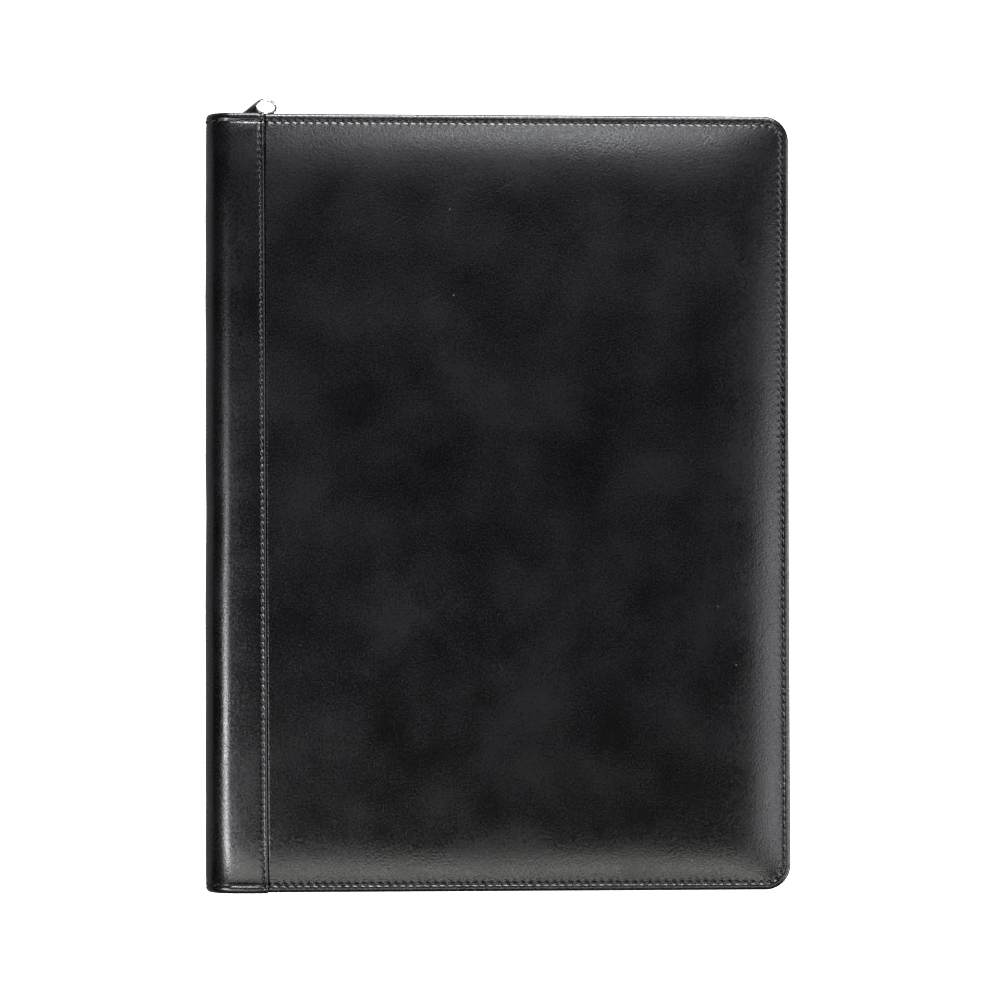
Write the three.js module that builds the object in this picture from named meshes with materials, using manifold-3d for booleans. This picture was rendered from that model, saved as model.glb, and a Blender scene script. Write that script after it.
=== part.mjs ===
// A zip-around leather document case for A4 papers, closed and lying on its back cover.
// X runs from the spine to the zipped side, Y from the bottom end to the top end, and Z from the back
// cover up to the front cover. The origin is the middle of the flat face that it lies on.
// All lengths are millimetres.

import * as THREE from "three";
import { mergeVertices } from "three/addons/utils/BufferGeometryUtils.js";
import Module from "manifold-3d";

// Outline of the case
const caseWidth = 255; // from the spine's outermost line to the zipped side, at the top end
const spineHeight = 341.4; // along the spine
const zipSideDrop = 1.5; // how far each end slopes in on its way to the zipped side
const zipSideLean = 1.1; // how far the zipped side leans out at the bottom end
const cornerRadius = 11; // at the two corners of the zipped side
const innerCornerRadius = 6; // least radius of the pad's own corner
const coverShort = 0.4; // the covers' ends stop this far inside the spine's ends

// The two covers, leather turned over a padded board
const rimThickness = 3; // the turned edge outside the stitching
const beadWidth = 2.2; // how far in the turned edge's curve reaches
const coverWall = 3; // leather, padding and board, away from the edge
const frontCrown = 3.2; // rise of the front pad above its rim
const backCrown = 2; // the same at the back, where the pad is pressed flat
const stitchInset = 3.4; // from the edge to the line of stitches
const grooveDepth = 0.5; // how far the stitches pull the leather in
const padWidth = 36; // from the stitches to the flat middle

// The spine's leather, lapped over both covers
const spineWall = 1.2;
const spineRound = 12; // how far in the spine's curve reaches
const seamTop = 26.2; // width of the lap at the top end, from the spine's outermost line
const seamBottom = 27.8; // the same at the bottom end
const seamStep = 0.9; // how far the lap stands above the front cover
const seamRamp = 0.8; // width over which a cover dips to go below the lap

// The zip between the covers' rims
const gussetGap = 14.4; // clear height between the rims
const tapeThickness = 1;
const tapeMargin = 3; // outer line of the margin glued under a rim, from the edge
const tapeMarginWidth = 2.5;
const tapeStart = 8; // ends of the tapes, from the spine's outermost line
const chainInset = 8; // middle of the chain, from the covers' edge
const chainWidth = 5.6;
const chainThickness = 2.4;
const chainStart = 12; // bottom end of the chain, from the spine's outermost line
const stopLength = 2.4;
const stopWall = 0.7; // metal of the bottom stop outside the chain's faces

// The slider
const sliderFromSpine = 12.5; // its middle, from the spine's outermost line
const sliderLength = 11;
const sliderNoseWidth = 9.4;
const sliderTailWidth = 7.6;
const sliderPlate = 1.1;
const sliderPost = 2.4; // length of the post that joins the two plates
const bridgeSpan = 8.2; // outer width of the round arch that holds the pull
const bridgeLeg = 1.7; // straight foot of the arch, above the plate
const bridgeBar = 1; // thickness of the arch's bar
const bridgeWidth = 1.2; // the bar's other way

// The pull, a flat drop with a round window
const pullThickness = 1.4;
const pullReach = 14.6; // from the eye's middle to the window's middle
const pullEndRadius = 4.9;
const windowRadius = 4;
const eyeRadius = 3;
const eyeHoleRadius = 1.9;
const pullLift = 26; // degrees that its length is turned off the zip's line, away from the case
const pullRise = 34; // degrees that its length rises towards the front
const pullRoll = 44; // degrees that the plate is turned about its own length
const eyeOnArch = 19; // degrees round the arch, where the eye hangs

const clearance = 0.3; // between pieces that touch

// Levels and lines that follow from the sizes
const left = -caseWidth / 2;
const coverEnd = spineHeight / 2 - coverShort;
const backRimInside = backCrown + rimThickness;
const frontRimInside = backRimInside + gussetGap;
const zipLevel = (backRimInside + frontRimInside) / 2;
const coverStart = left + spineRound + clearance;
const frontSunk = spineWall + clearance - seamStep;
const backSunk = spineWall + clearance;
const cornerSteps = 8;
const beadSteps = 3;
const spineSteps = 14;
const arcSteps = 14;
const noseChamfer = sliderNoseWidth / 4;
const slotHalf = chainThickness / 2 + clearance; // half the gap between the slider's plates
const archMiddle = slotHalf + sliderPlate + bridgeLeg; // the arch's centre, from the chain's middle
const archRadius = (bridgeSpan - bridgeBar) / 2;

// The pad's section, from the stitches in to the flat middle: shares of padWidth, of the outer rise
// and of the inner rise. The inner face stays flat where a tape's margin is sewn to it.
const padRows = [
  { across: 0, rise: 0, under: 0 },
  { across: 0.05, rise: 0.16, under: 0 },
  { across: 0.12, rise: 0.33, under: 0 },
  { across: 0.24, rise: 0.56, under: 0.02 },
  { across: 0.42, rise: 0.79, under: 0.5 },
  { across: 0.66, rise: 0.94, under: 0.88 },
  { across: 1, rise: 1, under: 1 },
];

const radians = (degrees) => (degrees * Math.PI) / 180;

// Where the spine's lap ends across the case, at a place along the case.
const lapEdge = (y) => left + seamTop + (seamBottom - seamTop) * (0.5 - y / spineHeight);

// Triangles of one closed body. Rows of points become strips of quads.
class Body {
  points = [];
  faces = [];

  row(points) {
    return points.map((p) => this.points.push(p) - 1);
  }

  quad(a, b, c, d) {
    const halves = [[a, b, c], [a, c, d]];
    this.faces.push(...halves.filter((face) => new Set(face).size === 3));
  }

  strip(a, b) {
    for (let i = 0; i + 1 < a.length; i++) this.quad(a[i], a[i + 1], b[i + 1], b[i]);
  }

  geometry() {
    const [p, q, r] = [new THREE.Vector3(), new THREE.Vector3(), new THREE.Vector3()];
    const volume = this.faces.reduce((sum, [a, b, c]) => {
      p.fromArray(this.points[a]);
      q.fromArray(this.points[b]);
      r.fromArray(this.points[c]);
      return sum + p.dot(q.cross(r));
    }, 0);
    const outward = this.faces.map(([a, b, c]) => (volume < 0 ? [a, c, b] : [a, b, c]));
    const made = new THREE.BufferGeometry();
    made.setAttribute("position", new THREE.Float32BufferAttribute(this.points.flat(), 3));
    made.setIndex(outward.flat());
    made.computeVertexNormals();
    return made;
  }
}

// A wall carried along a path. Each row follows the whole path, and the rows go round the wall's
// section. A filled body has a plate across the path's inside, between its first and last rows.
function carriedWall(rows, filled = false) {
  const body = new Body();
  const around = rows.map((row) => body.row(row));
  const count = around.length;
  const end = around[0].length - 1;
  for (let s = 0; s + 1 < count; s++) body.strip(around[s], around[s + 1]);
  for (let s = 0; s < count / 2 - 1; s++) {
    const [a, b] = [around[s], around[s + 1]];
    const [c, d] = [around[count - 2 - s], around[count - 1 - s]];
    body.quad(a[0], b[0], c[0], d[0]);
    body.quad(d[end], c[end], b[end], a[end]);
  }
  const [first, last] = [around[0], around[count - 1]];
  if (!filled) {
    body.strip(last, first);
    return body.geometry();
  }
  for (let i = 0; i < (end - 1) / 2; i++) {
    body.quad(first[i + 1], first[i], first[end - i], first[end - i - 1]);
    body.quad(last[i], last[i + 1], last[end - i - 1], last[end - i]);
  }
  body.quad(first[0], last[0], last[end], first[end]);
  return body.geometry();
}

// The covers' outline, so far inside their edge: along the top end, round the zipped side and back
// along the bottom end. `lapped` marks the points that lie under the spine's leather. `worn` slopes
// the ends and leans the zipped side, as the used case has them.
function outline(inset, startTop, startBottom) {
  const halfHeight = coverEnd - inset;
  const side = caseWidth / 2 - inset;
  const radius = Math.max(cornerRadius - inset, innerCornerRadius);
  const half = (start, way) => {
    const seam = lapEdge(way * halfHeight) + clearance;
    const line = [start, seam, seam + seamRamp].map((x, i) => ({ x, y: halfHeight, lapped: i < 2 }));
    const arc = Array.from({ length: cornerSteps + 1 }, (_, i) => {
      const turn = radians(90 - (90 * i) / cornerSteps);
      const x = side - radius + radius * Math.cos(turn);
      return { x, y: halfHeight - radius + radius * Math.sin(turn), lapped: false };
    });
    return [...line, ...arc];
  };
  const worn = (p, way) => {
    const across = (p.x - left) / caseWidth;
    const down = 0.5 - (way * p.y) / spineHeight;
    const x = p.x + zipSideLean * across * down ** 2;
    return { ...p, x, y: way * p.y * (1 - (zipSideDrop * across) / (spineHeight / 2)) };
  };
  const top = half(startTop, 1).map((p) => worn(p, 1));
  const bottom = half(startBottom, -1).map((p) => worn(p, -1));
  return [...top, ...bottom.reverse()];
}

// One row of a wall that follows the outline. `sunk` lowers it where the spine's leather laps it.
function outlineRow({ inset, z, sunk = 0 }, startTop, startBottom = startTop) {
  return outline(inset, startTop, startBottom).map((p) => [p.x, p.y, p.lapped ? z - sunk : z]);
}

// Height of a cover's outer face above its rim's inner face, at a row of the pad.
const padHeight = (row, crown) => rimThickness - grooveDepth + (crown + grooveDepth) * row.rise;

// The rounded turned edge, from its outermost line to its outer or inner face.
function beadRows(way) {
  const half = rimThickness / 2;
  return Array.from({ length: beadSteps + 1 }, (_, i) => {
    const turn = radians((90 * i) / beadSteps);
    return { inset: beadWidth * (1 - Math.sin(turn)), height: half + way * half * Math.cos(turn) };
  }).reverse();
}

// A cover: its outer face from the middle out to the rim, and its inner face back to the middle.
// `facing` is 1 for the front and -1 for the back.
function coverGeometry(facing, rimInside, crown, sunkDepth) {
  const pad = padRows.map((row) => ({
    inset: stitchInset + padWidth * row.across,
    outer: padHeight(row, crown),
    inner: (crown + rimThickness - coverWall) * row.under,
  }));
  const bead = (way) => beadRows(way).map((row) => ({ ...row, share: row.height / rimThickness }));
  const over = pad.map((row) => ({ inset: row.inset, height: row.outer, share: 1 }));
  const outer = [...bead(1), ...over];
  const under = pad.map((row) => ({ inset: row.inset, height: row.inner, share: 0 }));
  const inner = [...bead(-1).slice(1), ...under];
  const around = [...outer.reverse(), ...inner].map((row) => ({
    inset: row.inset,
    z: rimInside + facing * row.height,
    sunk: facing * sunkDepth * row.share,
  }));
  return carriedWall(around.map((row) => outlineRow(row, coverStart)), true);
}

// The spine's leather: a C-shaped section at each step from one end to the other, which follows the
// covers' rims, stitching and pads. The turned hem thins to a round edge at each end.
function spineGeometry() {
  const hem = { inset: -coverShort, height: rimThickness, thin: 0.3 };
  const steps = [
    hem,
    { inset: spineWall / 2 - coverShort, height: rimThickness, thin: 0 },
    { inset: beadWidth, height: rimThickness, thin: 0 },
    ...padRows.map((row) => ({ inset: stitchInset + padWidth * row.across, rise: row, thin: 0 })),
  ];
  const heightOf = (step, crown) => (step.rise ? padHeight(step.rise, crown) : step.height);
  const section = (step, way) => {
    const y = way * (coverEnd - step.inset);
    const lap = lapEdge(y);
    const front = frontRimInside + heightOf(step, frontCrown) + seamStep;
    const back = backRimInside - heightOf(step, backCrown);
    const trim = spineWall * step.thin;
    return { y, lap, front: front - trim, back: back + trim, outer: trim, inner: spineWall - trim };
  };
  const sections = [
    ...steps.map((step) => section(step, 1)),
    ...[...steps].reverse().map((step) => section(step, -1)),
  ];
  const curve = (s, depth) => {
    const wall = depth === 0 ? 0 : s.inner - s.outer;
    const [high, low] = [s.front - wall, s.back + wall];
    const reach = spineRound - s.outer - wall;
    const arc = Array.from({ length: spineSteps + 1 }, (_, i) => {
      const turn = radians(90 + (180 * i) / spineSteps);
      const x = left + spineRound + reach * Math.cos(turn);
      return [x, s.y, (high + low) / 2 + ((high - low) / 2) * Math.sin(turn)];
    });
    return [[s.lap, s.y, high], ...arc, [s.lap, s.y, low]];
  };
  const loops = sections.map((s) => [...curve(s, 0), ...curve(s, 1).reverse()]);
  return carriedWall(loops[0].map((_, k) => loops.map((loop) => loop[k])));
}

// Half of the zip's tape: a margin glued under its cover's rim, a slope, and a flat strip beside the
// chain that is wide enough for the slider.
function tapeGeometry(facing, rimInside) {
  const half = tapeThickness / 2;
  const margin = rimInside - facing * clearance;
  const knee = zipLevel + facing * (sliderNoseWidth / 2 + clearance);
  const chainEdge = zipLevel + facing * (chainWidth / 2 + clearance);
  const rows = [
    { inset: tapeMargin, z: margin },
    { inset: tapeMargin + tapeMarginWidth, z: margin },
    { inset: chainInset + half, z: knee + facing * half },
    { inset: chainInset + half, z: chainEdge },
    { inset: chainInset - half, z: chainEdge },
    { inset: chainInset - half, z: knee },
    { inset: tapeMargin, z: margin - facing * tapeThickness },
  ];
  return carriedWall(rows.map((row) => outlineRow(row, left + tapeStart)));
}

// The closed chain of teeth, a plain band from inside the slider round to the bottom stop.
function chainGeometry() {
  const [near, far] = [chainInset - chainThickness / 2, chainInset + chainThickness / 2];
  const [low, high] = [zipLevel - chainWidth / 2, zipLevel + chainWidth / 2];
  const rows = [
    { inset: near, z: low },
    { inset: near, z: high },
    { inset: far, z: high },
    { inset: far, z: low },
  ];
  const top = left + sliderFromSpine - sliderLength / 2 + noseChamfer / 2 + sliderPost + clearance;
  return carriedWall(rows.map((row) => outlineRow(row, top, left + chainStart)));
}

const wasm = await Module();
wasm.setup();

// A three.js geometry as a solid that can be joined and cut, and back.
function solidOf(geometry) {
  const bare = geometry.clone();
  bare.deleteAttribute("normal");
  bare.deleteAttribute("uv");
  const merged = mergeVertices(bare, 1e-4);
  return new wasm.Manifold(
    new wasm.Mesh({
      numProp: 3,
      vertProperties: merged.attributes.position.array,
      triVerts: new Uint32Array(merged.index.array),
    }),
  );
}

function geometryOf(solid) {
  const mesh = solid.getMesh();
  const made = new THREE.BufferGeometry();
  made.setAttribute("position", new THREE.BufferAttribute(mesh.vertProperties, 3));
  made.setIndex(new THREE.BufferAttribute(mesh.triVerts, 1));
  made.computeVertexNormals();
  return made;
}

// A flat shape given a thickness, with its middle plane at 0.
function slab(shape, thickness) {
  const options = { depth: thickness, bevelEnabled: false, curveSegments: arcSteps };
  return new THREE.ExtrudeGeometry(shape, options).translate(0, 0, -thickness / 2);
}

// The slider with its middle on the chain: two plates cut to a tapered plan, the post at the nose that
// joins them between the tapes, and the arch that carries the pull.
function sliderGeometry() {
  const [nose, tail] = [-sliderLength / 2, sliderLength / 2];
  const [noseSide, tailSide] = [sliderNoseWidth / 2, sliderTailWidth / 2];
  const plan = new THREE.Shape([
    new THREE.Vector2(nose, noseChamfer - noseSide),
    new THREE.Vector2(nose + noseChamfer / 2, -noseSide),
    new THREE.Vector2(0, -noseSide),
    new THREE.Vector2(tail, -tailSide),
    new THREE.Vector2(tail, tailSide),
    new THREE.Vector2(0, noseSide),
    new THREE.Vector2(nose + noseChamfer / 2, noseSide),
    new THREE.Vector2(nose, noseSide - noseChamfer),
  ]);
  const plate = (y) => solidOf(slab(plan, sliderPlate).rotateX(Math.PI / 2).translate(0, y, 0));
  const post = new THREE.BoxGeometry(sliderPost, 2 * slotHalf + sliderPlate, chainWidth);
  post.translate(nose + noseChamfer / 2 + sliderPost / 2, 0, 0);
  const [outer, inner] = [bridgeSpan / 2, bridgeSpan / 2 - bridgeBar];
  const foot = -bridgeLeg - sliderPlate / 2;
  const arch = new THREE.Shape();
  arch.absarc(0, 0, outer, 0, Math.PI, false);
  arch.lineTo(-outer, foot);
  arch.lineTo(-inner, foot);
  arch.absarc(0, 0, inner, Math.PI, 0, true);
  arch.lineTo(inner, foot);
  arch.lineTo(outer, foot);
  const bridge = slab(arch, bridgeWidth).translate(0, archMiddle, 0);
  const plates = plate(slotHalf + sliderPlate / 2).add(plate(-slotHalf - sliderPlate / 2));
  return geometryOf(plates.add(solidOf(post)).add(solidOf(bridge)));
}

// The pull, flat on its own plane with the eye's middle at 0: two discs joined by their tangents.
function pullGeometry() {
  const tangent = Math.acos((pullEndRadius - eyeRadius) / pullReach);
  const plate = new THREE.Shape();
  plate.absarc(pullReach, 0, pullEndRadius, -Math.PI + tangent, Math.PI - tangent, false);
  plate.absarc(0, 0, eyeRadius, Math.PI - tangent, Math.PI + tangent, false);
  const eye = new THREE.Path().absarc(0, 0, eyeHoleRadius, 0, 2 * Math.PI, true);
  const window = new THREE.Path().absarc(pullReach, 0, windowRadius, 0, 2 * Math.PI, true);
  plate.holes.push(eye, window);
  return slab(plate, pullThickness);
}

const blackLeather = { color: 0x1c1c1e, roughness: 0.42, metalness: 0 };
const blackTape = { color: 0x141415, roughness: 0.9, metalness: 0 };
const nickel = { color: 0xb9b7b0, roughness: 0.22, metalness: 1 };

const documentCase = new THREE.Group();

function add(name, geometry, finish, parent = documentCase) {
  const mesh = new THREE.Mesh(geometry, new THREE.MeshStandardMaterial(finish));
  mesh.name = name;
  parent.add(mesh);
  return mesh;
}

add("front_cover", coverGeometry(1, frontRimInside, frontCrown, frontSunk), blackLeather);
add("back_cover", coverGeometry(-1, backRimInside, backCrown, backSunk), blackLeather);
add("spine_wrap", spineGeometry(), blackLeather);
add("zip_tape_front", tapeGeometry(1, frontRimInside), blackTape);
add("zip_tape_back", tapeGeometry(-1, backRimInside), blackTape);
add("zip_chain", chainGeometry(), nickel);

const stopGeometry = new THREE.BoxGeometry(stopLength, chainThickness + 2 * stopWall, chainWidth);
const bottomStop = add("zip_bottom_stop", stopGeometry, nickel);
bottomStop.position.set(left + chainStart - clearance - stopLength / 2, chainInset - coverEnd, zipLevel);

const zipHead = new THREE.Group();
zipHead.position.set(left + sliderFromSpine, coverEnd - chainInset, zipLevel);
documentCase.add(zipHead);
add("zip_slider", sliderGeometry(), nickel, zipHead);

// The pull swings round the arch's centre, so that its eye follows the arch's bar. As it hangs, its
// length points away from the zip and up to the front, and the plate is turned about that length.
const pullSwing = new THREE.Group();
pullSwing.position.set(0, archMiddle, 0);
zipHead.add(pullSwing);
const pullEye = new THREE.Group();
pullEye.position.set(archRadius * Math.cos(radians(eyeOnArch)), archRadius * Math.sin(radians(eyeOnArch)), 0);
pullSwing.add(pullEye);
const pull = add("zip_pull", pullGeometry(), nickel, pullEye);
pull.rotation.set(radians(pullRoll), radians(-pullRise), radians(pullLift), "ZYX");

export default documentCase;
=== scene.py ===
import math

import bmesh
import bpy
import numpy as np
from mathutils import Matrix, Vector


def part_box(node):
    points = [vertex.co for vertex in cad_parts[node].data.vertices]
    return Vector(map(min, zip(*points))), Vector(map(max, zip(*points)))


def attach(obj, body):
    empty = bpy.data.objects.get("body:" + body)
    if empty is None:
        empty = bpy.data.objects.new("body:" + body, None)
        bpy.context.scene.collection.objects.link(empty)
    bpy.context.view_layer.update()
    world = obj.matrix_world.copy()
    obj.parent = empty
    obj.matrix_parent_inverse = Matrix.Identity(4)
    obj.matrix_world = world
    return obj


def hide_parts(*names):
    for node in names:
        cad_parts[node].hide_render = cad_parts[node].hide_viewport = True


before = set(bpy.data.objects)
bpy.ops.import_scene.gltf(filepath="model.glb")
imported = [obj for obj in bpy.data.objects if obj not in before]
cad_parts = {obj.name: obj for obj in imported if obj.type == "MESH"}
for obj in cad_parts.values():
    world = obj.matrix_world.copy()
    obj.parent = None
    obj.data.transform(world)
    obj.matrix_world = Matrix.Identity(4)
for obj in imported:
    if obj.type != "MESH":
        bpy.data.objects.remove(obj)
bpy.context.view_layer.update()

# The camera looks straight down at the front of the case, which lies on its back cover. The picture's
# side is chosen so that the case fills as much of the picture as in the photograph.
MM = 0.001
front_low, front_high = (np.array(corner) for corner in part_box("front_cover"))
spine_low, spine_high = (np.array(corner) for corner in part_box("spine_wrap"))
camera_height = 1.7
camera_sensor = 36.0
picture_side = 0.4341
picture_centre = (0.32 * MM, 2.65 * MM)
looked_at = front_high[2] - 4.7 * MM
camera_data = bpy.data.cameras.new("camera")
camera_data.sensor_width = camera_sensor
camera_data.lens = camera_sensor * (camera_height - looked_at) / picture_side
camera_data.clip_end = 20
camera = bpy.data.objects.new("camera", camera_data)
camera.location = (*picture_centre, camera_height)
bpy.context.scene.collection.objects.link(camera)
bpy.context.scene.camera = camera


# The studio: a floor, softboxes round the case and panels beyond them, in a nearly dark room. Each light
# stands off the camera's axis, so it shows as a band on the slopes that face it. The floor is white to
# the camera alone. To all other rays it is grey, so the leather's edges don't mirror a white sheet.
def add_node(tree, kind, inputs=None, **settings):
    """A node of that kind, with its settings, and its inputs set to values or linked to sockets."""
    made = tree.nodes.new(kind)
    for name, value in settings.items():
        setattr(made, name, value)
    for name, value in (inputs or {}).items():
        if isinstance(value, bpy.types.NodeSocket):
            tree.links.new(value, made.inputs[name])
        else:
            made.inputs[name].default_value = value
    return made


def mix_colours(tree, share, first, second):
    """The colour that lies that share of the way from the first to the second."""
    inputs = {"Factor": share, 6: first, 7: second}
    return add_node(tree, "ShaderNodeMix", inputs, data_type="RGBA").outputs[2]


def add_material(name):
    """A new material, its node tree, and its Principled shader."""
    made = bpy.data.materials.new(name)
    made.use_nodes = True
    tree = made.node_tree
    return made, tree, tree.nodes["Principled BSDF"]


floor_reach = 12.0
floor_to_others = (0.18, 0.18, 0.18, 1)
floor_to_camera = (0.93, 0.93, 0.93, 1)
floor_mesh = bpy.data.meshes.new("floor")
floor_corners = [(x * floor_reach, y * floor_reach, 0) for x, y in ((-1, -1), (1, -1), (1, 1), (-1, 1))]
floor_mesh.from_pydata(floor_corners, [], [(0, 1, 2, 3)])
floor = bpy.data.objects.new("floor", floor_mesh)
bpy.context.scene.collection.objects.link(floor)
floor_paint, floor_tree, floor_shader = add_material("pale_floor")
seen = add_node(floor_tree, "ShaderNodeLightPath").outputs["Is Camera Ray"]
floor_tone = mix_colours(floor_tree, seen, floor_to_others, floor_to_camera)
floor_tree.links.new(floor_tone, floor_shader.inputs["Base Color"])
floor_tree.links.new(seen, floor_shader.inputs["Emission Strength"])
floor_shader.inputs["Emission Color"].default_value = (1, 1, 1, 1)
floor_shader.inputs["Roughness"].default_value = 0.9
floor_shader.inputs["Specular IOR Level"].default_value = 0.1
floor_mesh.materials.append(floor_paint)

cool = (0.965, 0.975, 1.0)
warm = (1.0, 0.985, 0.93)
# Name, place, width, height, radiance and tint of each light. All face the middle of the case.
lights = (
    ("softbox_right", (0.50, -0.14, 0.62), 0.50, 0.22, 4.6, cool),
    ("softbox_left_low", (-0.47, -0.27, 0.62), 0.40, 0.12, 34.0, cool),
    ("softbox_left_high", (-0.47, -0.01, 0.62), 0.12, 0.12, 8.0, cool),
    ("softbox_bottom", (0.03, -0.50, 0.60), 0.80, 0.16, 4.8, warm),
    ("softbox_top", (0.06, 0.52, 0.62), 0.36, 0.14, 2.0, cool),
    ("softbox_top_spot", (0.045, 0.52, 0.62), 0.10, 0.14, 15.0, cool),
    ("panel_top", (0.05, 0.82, 0.36), 0.70, 0.30, 30.0, cool),
    ("panel_right", (1.2, -0.25, 0.40), 1.40, 0.60, 7.0, cool),
    ("ceiling_top", (0.0, 0.90, 2.20), 1.40, 0.70, 0.70, cool),
)
for name, place, width, height, radiance, tint in lights:
    data = bpy.data.lights.new(name, "AREA")
    data.shape = "RECTANGLE"
    data.size, data.size_y = width, height
    data.energy = radiance * math.pi * width * height
    data.color = tint
    light = bpy.data.objects.new(name, data)
    light.location = place
    tilt = math.atan2(math.hypot(place[0], place[1]), place[2])
    light.rotation_euler = (tilt, 0, math.atan2(-place[1], -place[0]) - math.pi / 2)
    bpy.context.scene.collection.objects.link(light)

room = bpy.data.worlds.new("room")
room.use_nodes = True
room.node_tree.nodes["Background"].inputs["Color"].default_value = (0.93, 0.94, 1, 1)
room.node_tree.nodes["Background"].inputs["Strength"].default_value = 0.006
bpy.context.scene.world = room
bpy.context.scene.view_settings.view_transform = "Standard"


# The covers: smooth black calf leather over a thin padded board. The leather is turned in at the
# edge, where it makes a round bead, and sewn down, which pulls a groove between the bead and the pad.
left = spine_low[0]
case_width = 255 * MM
spine_height = spine_high[1] - spine_low[1]
cover_end = spine_height / 2 - 0.4 * MM
cover_start = front_low[0]
side_edge = left + case_width
zip_side_drop = 1.5 * MM
zip_side_lean = 1.1 * MM
corner_radius = 11 * MM
rim_thickness = 3 * MM
bead_width = 2.2 * MM
stitch_inset = 3.4 * MM
perimeter_pitch = 3.45 * MM
groove_depth = 0.5 * MM
pad_width = 36 * MM
strip_depth = 12 * MM
strip_radius = 6 * MM
seam_top = 26.2 * MM
seam_bottom = 27.8 * MM
spine_round = 12 * MM
lap_roll_depth = 0.75 * MM
lap_roll_power = 1.7
lap_margin = 0.75 * MM
lap_ease = 0.6 * MM
lap_band = (12.5 * MM, 16.5 * MM)
lap_shares = (0, 1 / 14, 3 / 14, 1)
hole_reach = 0.5 * MM
pull_reach_aside = 1.5 * MM
pucker_depth = 0.9 * MM
wave_table = ((90 * MM, 0.22 * MM), (34 * MM, 0.05 * MM))  # length and height of the leather's waves
wave_ease = 20 * MM
still_by_edge = 5 * MM
still_by_lap = 1.5 * MM


def lap_edge(y):
    """Where the spine's lap ends across the case: a straight line that slopes from end to end."""
    return left + seam_top + (seam_bottom - seam_top) * (0.5 - y / spine_height)


def lap_roll(x, y):
    """How far the laps, and the covers under them, bend in towards the fold: a power of the way from
    the lap's edge to where the fold begins."""
    share = (lap_edge(y) - x) / (lap_edge(y) - left - spine_round)
    return lap_roll_depth * np.clip(share, 0, 1) ** lap_roll_power


def worn(points):
    """The used case: its ends slope in towards the zipped side, which leans out at the bottom end."""
    out = np.array(points, float)
    across = (out[..., 0] - left) / case_width
    down = 0.5 - out[..., 1] / spine_height
    out[..., 0] += zip_side_lean * across * down**2
    out[..., 1] *= 1 - zip_side_drop * across / (spine_height / 2)
    return out


def bell(distance, width):
    """A bell curve: e to the power of less the square of the distance in widths."""
    return np.exp(-((distance / width) ** 2))


def slow_waves(x, y, length, seed):
    """The mean of eight plane waves of about that length, with seeded directions and phases."""
    draw = np.random.default_rng(seed)
    total = np.zeros(np.broadcast(x, y).shape)
    for _ in range(8):
        turn, phase = draw.uniform(0, 2 * math.pi, 2)
        reach = length * draw.uniform(0.6, 1.6)
        total += np.cos(2 * math.pi * (x * math.cos(turn) + y * math.sin(turn)) / reach + phase)
    return total / 8


def walk_along(line):
    """How far along a line of points each of them is."""
    return np.concatenate([[0], np.cumsum(np.linalg.norm(np.diff(line, axis=0), axis=1))])


def outline_path(inset, columns, start=cover_start):
    """Points of the covers' edge so far inside it: from the start along the top end, round the two
    corners of the zipped side and back along the bottom end. columns holds how many steps the
    straight ends, the corners and the straight side have. The ends' steps are closest where the
    spine's lap ends. A corner's radius is the case's own less the inset, but never under the strip's."""
    along_end, round_corner, along_side = columns
    radius = max(corner_radius - inset, strip_radius)
    x_far, y_far = side_edge - inset, cover_end - inset
    places = [start, start + lap_band[0], start + lap_band[1], x_far - radius]
    end_x = np.interp(np.linspace(0, 1, along_end + 1), lap_shares, places)
    turn = np.linspace(math.pi / 2, 0, round_corner + 1)[1:]
    corner_x = x_far - radius + radius * np.cos(turn)
    corner_y = y_far - radius + radius * np.sin(turn)
    side_y = np.linspace(y_far - radius, radius - y_far, along_side + 1)[1:]
    x = np.concatenate([end_x, corner_x, np.full(along_side, x_far), corner_x[::-1][1:], end_x[::-1]])
    y = np.concatenate([np.full(along_end + 1, y_far), corner_y, side_y, -corner_y[::-1][1:]])
    y = np.concatenate([y, np.full(along_end + 1, -y_far)])
    return np.stack([x, y], axis=-1)


def bead_height(inset):
    """Height of the turned edge above its inner face: half an ellipse, as high as the rim is thick."""
    half = rim_thickness / 2
    share = np.clip(1 - inset / bead_width, 0, 1)
    return half + half * np.sqrt(1 - share**2)


def rim_height(inset):
    """The rim's outer face: the bead, and a cosine ease down to the stitches."""
    ease = np.clip((inset - bead_width) / (stitch_inset - bead_width), 0, 1)
    eased = rim_thickness - groove_depth * (1 - np.cos(math.pi * ease)) / 2
    return np.where(inset < bead_width, bead_height(inset), eased)


def pad_rise(distance):
    """The pad's rise from the stitches, as a share: one less the cube of what is left of its width."""
    return 1 - (1 - np.clip((distance - stitch_inset) / pad_width, 0, 1)) ** 3


def pad_height(inset, crown):
    """The outer face along a straight end: the rim, and the pad on top of it."""
    return rim_height(inset) + (crown + groove_depth) * pad_rise(inset)


def pucker(inset, along):
    """How the stitches pull the leather: pits at the needle holes on the stitch line, and a soft
    scallop to both sides of it that swells between two holes."""
    beat = np.cos(2 * math.pi * along / perimeter_pitch)
    pits = -0.6 * bell(inset - stitch_inset, hole_reach) * ((1 + beat) / 2) ** 2
    return pucker_depth * (pits - 0.13 * bell(inset - stitch_inset, pull_reach_aside) * beat)


def turn_outwards(made, weld=None):
    """Turns the normals of a closed mesh outwards, once points closer than the weld are joined."""
    work = bmesh.new()
    work.from_mesh(made.data)
    if weld:
        bmesh.ops.remove_doubles(work, verts=work.verts, dist=weld)
    bmesh.ops.recalc_face_normals(work, faces=work.faces)
    work.to_mesh(made.data)
    work.free()


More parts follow.
